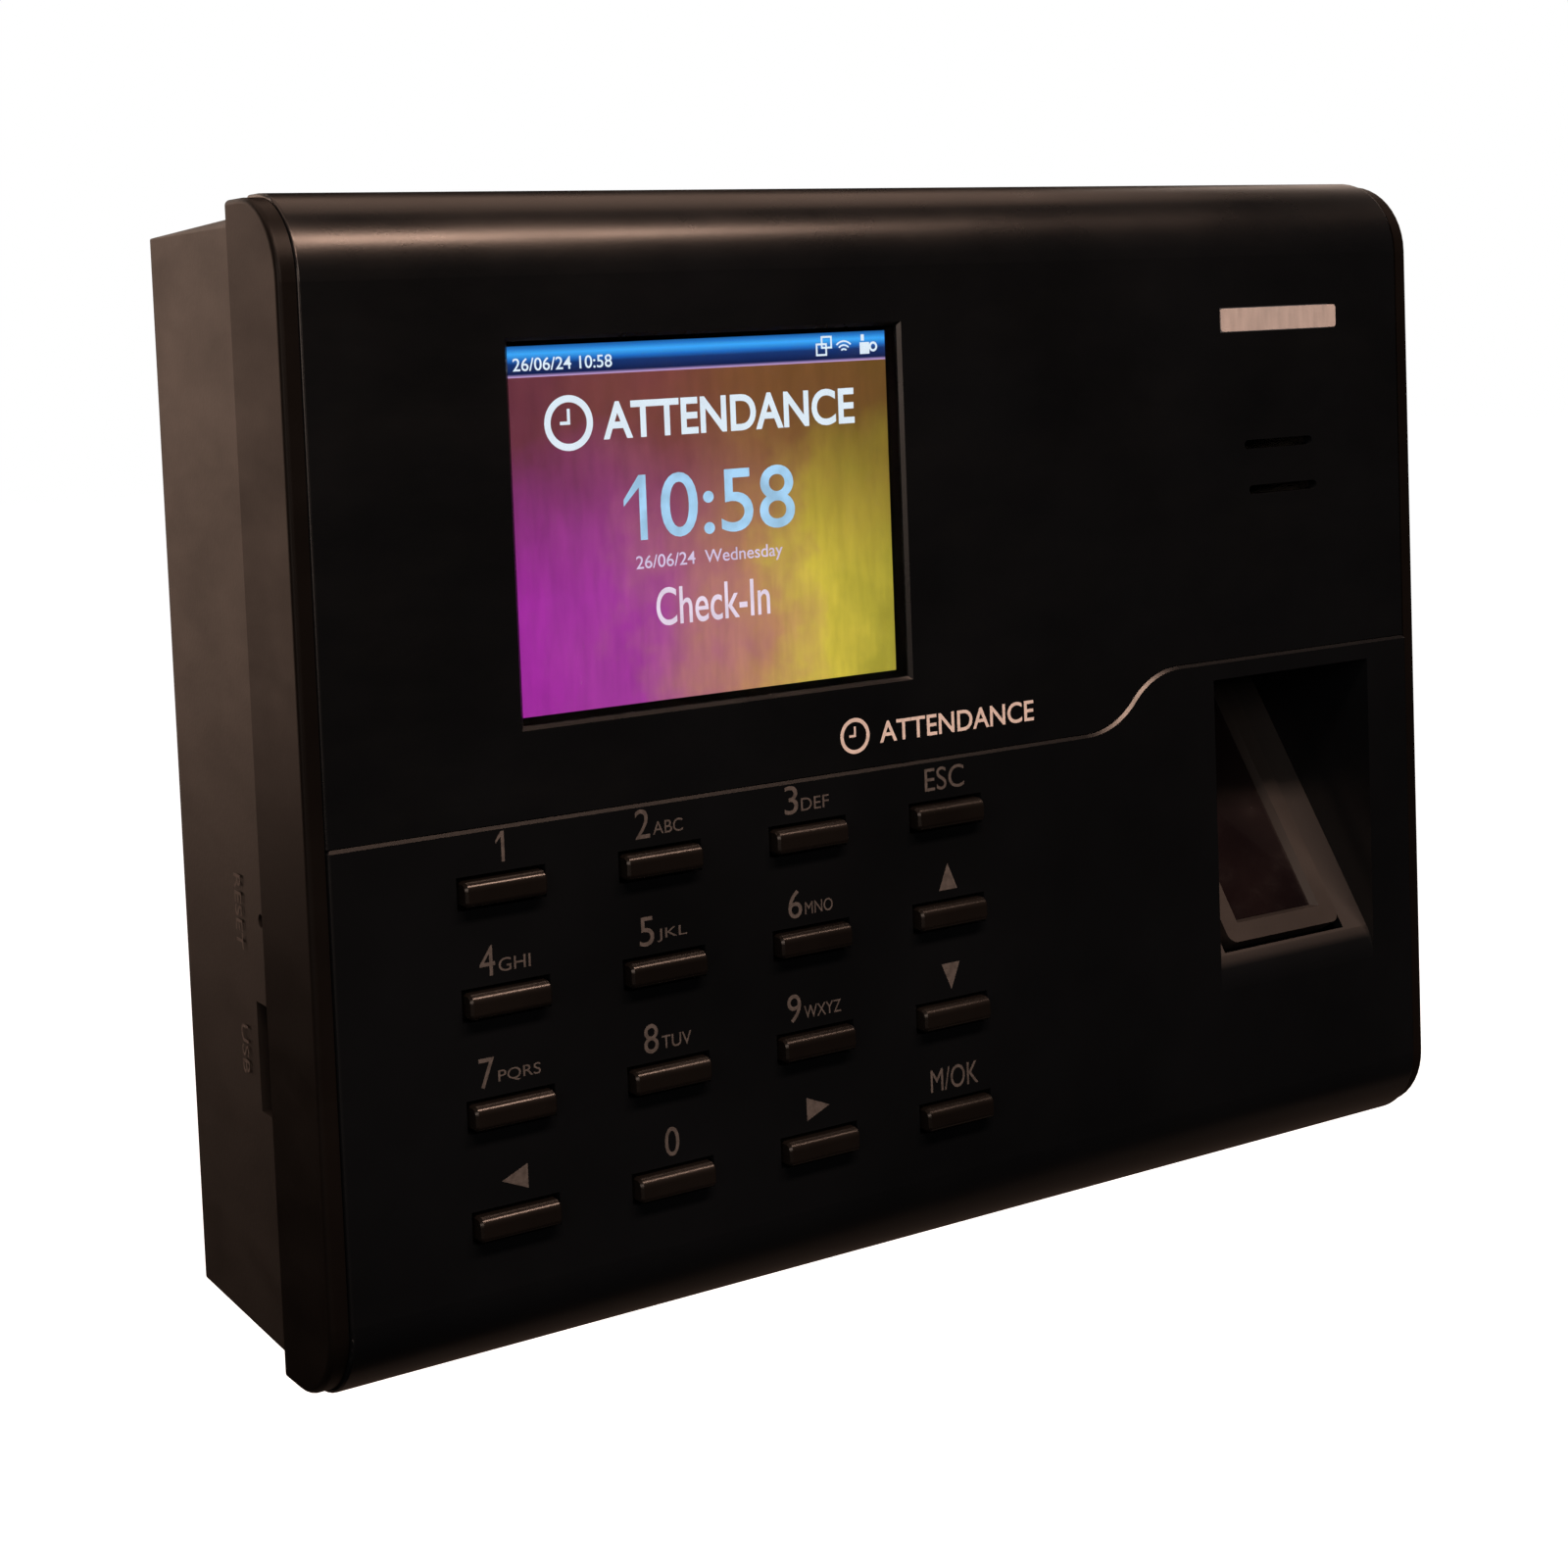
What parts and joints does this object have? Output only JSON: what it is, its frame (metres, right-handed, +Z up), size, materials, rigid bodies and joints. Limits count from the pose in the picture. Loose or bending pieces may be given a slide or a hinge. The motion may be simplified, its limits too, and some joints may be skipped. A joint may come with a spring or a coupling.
{
  "type": "fingerprint time clock",
  "caption": "Wall-hung fingerprint attendance terminal with a colour display, number keypad, finger pocket, status light and speaker slots.",
  "frame": {"origin": "middle of the wall bracket's face that lies on the wall", "axes": "+X to the right as a person faces the clock, +Y into the wall, +Z up; the display faces -Y"},
  "size_m": [0.178, 0.046, 0.14],
  "materials": {
    "shell": "matte black moulded plastic",
    "cover": "satin black moulded plastic",
    "fascia": "satin black moulded plastic",
    "keys": "semi-gloss black",
    "window": "clear polished",
    "lcd": "glossy display face",
    "tinplate": "plain steel sheet",
    "light": "milky clear",
    "board": "green solder mask",
    "chips": "black moulded plastic",
    "leds": "clear resin",
    "ribbon": "amber film",
    "leads": "red and black insulation",
    "plugs": "natural nylon",
    "cone": "black paper",
    "silicone": "matte silicone",
    "contacts": "gold flashed",
    "plunger": "off-white",
    "bezel": "fine matte grey-black",
    "platen": "dark polished glass",
    "bracket": "zinc plated steel",
    "screws": "zinc plated"
  },
  "bodies": {
    "housing": {"rear_shell": "shell", "front_cover": "cover", "upper_fascia": "fascia", "lower_fascia": "fascia", "display_window": "window", "lcd_panel": "lcd", "lcd_frame": "tinplate", "speaker_basket": "tinplate", "usb_socket": "tinplate", "coin_cell": "tinplate", "status_light_bar": "light", "main_board": "board", "keypad_board": "board", "light_board": "board", "sensor_board": "board", "board_chips": "chips", "capacitors": "chips", "ribbon_sockets": "chips", "cell_holder": "chips", "reset_switch": "chips", "usb_tongue": "chips", "network_jack": "chips", "power_jack": "chips", "status_leds": "leds", "lcd_ribbon": "ribbon", "keypad_ribbon": "ribbon", "sensor_ribbon": "ribbon", "speaker_leads": "leads", "light_leads": "leads", "lead_plugs": "plugs", "speaker_cone": "cone", "keypad_mat": "silicone", "network_contacts": "contacts", "power_pin": "contacts", "sensor_bezel": "bezel", "sensor_body": "bezel", "sensor_glass": "platen", "wall_bracket": "bracket", "locking_screw": "screws", "case_screws": "screws", "board_screws": "screws", "keypad_screws": "screws"},
    "key_1": {"key_1": "keys"},
    "key_2": {"key_2": "keys"},
    "key_3": {"key_3": "keys"},
    "key_esc": {"key_esc": "keys"},
    "key_4": {"key_4": "keys"},
    "key_5": {"key_5": "keys"},
    "key_6": {"key_6": "keys"},
    "key_up": {"key_up": "keys"},
    "key_7": {"key_7": "keys"},
    "key_8": {"key_8": "keys"},
    "key_9": {"key_9": "keys"},
    "key_down": {"key_down": "keys"},
    "key_left": {"key_left": "keys"},
    "key_0": {"key_0": "keys"},
    "key_right": {"key_right": "keys"},
    "key_ok": {"key_ok": "keys"},
    "reset_button": {"reset_plunger": "plunger"}
  },
  "joints": [
    {"name": "key_1_press", "type": "slide", "parent": "housing", "child": "key_1", "axis": [0, 1, 0], "range_m": [0, 0.0012], "stiffness_N_per_m": 900, "springref_m": -0.0008},
    {"name": "key_2_press", "type": "slide", "parent": "housing", "child": "key_2", "axis": [0, 1, 0], "range_m": [0, 0.0012], "stiffness_N_per_m": 900, "springref_m": -0.0008},
    {"name": "key_3_press", "type": "slide", "parent": "housing", "child": "key_3", "axis": [0, 1, 0], "range_m": [0, 0.0012], "stiffness_N_per_m": 900, "springref_m": -0.0008},
    {"name": "key_esc_press", "type": "slide", "parent": "housing", "child": "key_esc", "axis": [0, 1, 0], "range_m": [0, 0.0012], "stiffness_N_per_m": 900, "springref_m": -0.0008},
    {"name": "key_4_press", "type": "slide", "parent": "housing", "child": "key_4", "axis": [0, 1, 0], "range_m": [0, 0.0012], "stiffness_N_per_m": 900, "springref_m": -0.0008},
    {"name": "key_5_press", "type": "slide", "parent": "housing", "child": "key_5", "axis": [0, 1, 0], "range_m": [0, 0.0012], "stiffness_N_per_m": 900, "springref_m": -0.0008},
    {"name": "key_6_press", "type": "slide", "parent": "housing", "child": "key_6", "axis": [0, 1, 0], "range_m": [0, 0.0012], "stiffness_N_per_m": 900, "springref_m": -0.0008},
    {"name": "key_up_press", "type": "slide", "parent": "housing", "child": "key_up", "axis": [0, 1, 0], "range_m": [0, 0.0012], "stiffness_N_per_m": 900, "springref_m": -0.0008},
    {"name": "key_7_press", "type": "slide", "parent": "housing", "child": "key_7", "axis": [0, 1, 0], "range_m": [0, 0.0012], "stiffness_N_per_m": 900, "springref_m": -0.0008},
    {"name": "key_8_press", "type": "slide", "parent": "housing", "child": "key_8", "axis": [0, 1, 0], "range_m": [0, 0.0012], "stiffness_N_per_m": 900, "springref_m": -0.0008},
    {"name": "key_9_press", "type": "slide", "parent": "housing", "child": "key_9", "axis": [0, 1, 0], "range_m": [0, 0.0012], "stiffness_N_per_m": 900, "springref_m": -0.0008},
    {"name": "key_down_press", "type": "slide", "parent": "housing", "child": "key_down", "axis": [0, 1, 0], "range_m": [0, 0.0012], "stiffness_N_per_m": 900, "springref_m": -0.0008},
    {"name": "key_left_press", "type": "slide", "parent": "housing", "child": "key_left", "axis": [0, 1, 0], "range_m": [0, 0.0012], "stiffness_N_per_m": 900, "springref_m": -0.0008},
    {"name": "key_0_press", "type": "slide", "parent": "housing", "child": "key_0", "axis": [0, 1, 0], "range_m": [0, 0.0012], "stiffness_N_per_m": 900, "springref_m": -0.0008},
    {"name": "key_right_press", "type": "slide", "parent": "housing", "child": "key_right", "axis": [0, 1, 0], "range_m": [0, 0.0012], "stiffness_N_per_m": 900, "springref_m": -0.0008},
    {"name": "key_ok_press", "type": "slide", "parent": "housing", "child": "key_ok", "axis": [0, 1, 0], "range_m": [0, 0.0012], "stiffness_N_per_m": 900, "springref_m": -0.0008},
    {"name": "reset_press", "type": "slide", "parent": "housing", "child": "reset_button", "axis": [1, 0, 0], "range_m": [0, 0.0004], "stiffness_N_per_m": 2500, "springref_m": -0.0003}
  ]
}
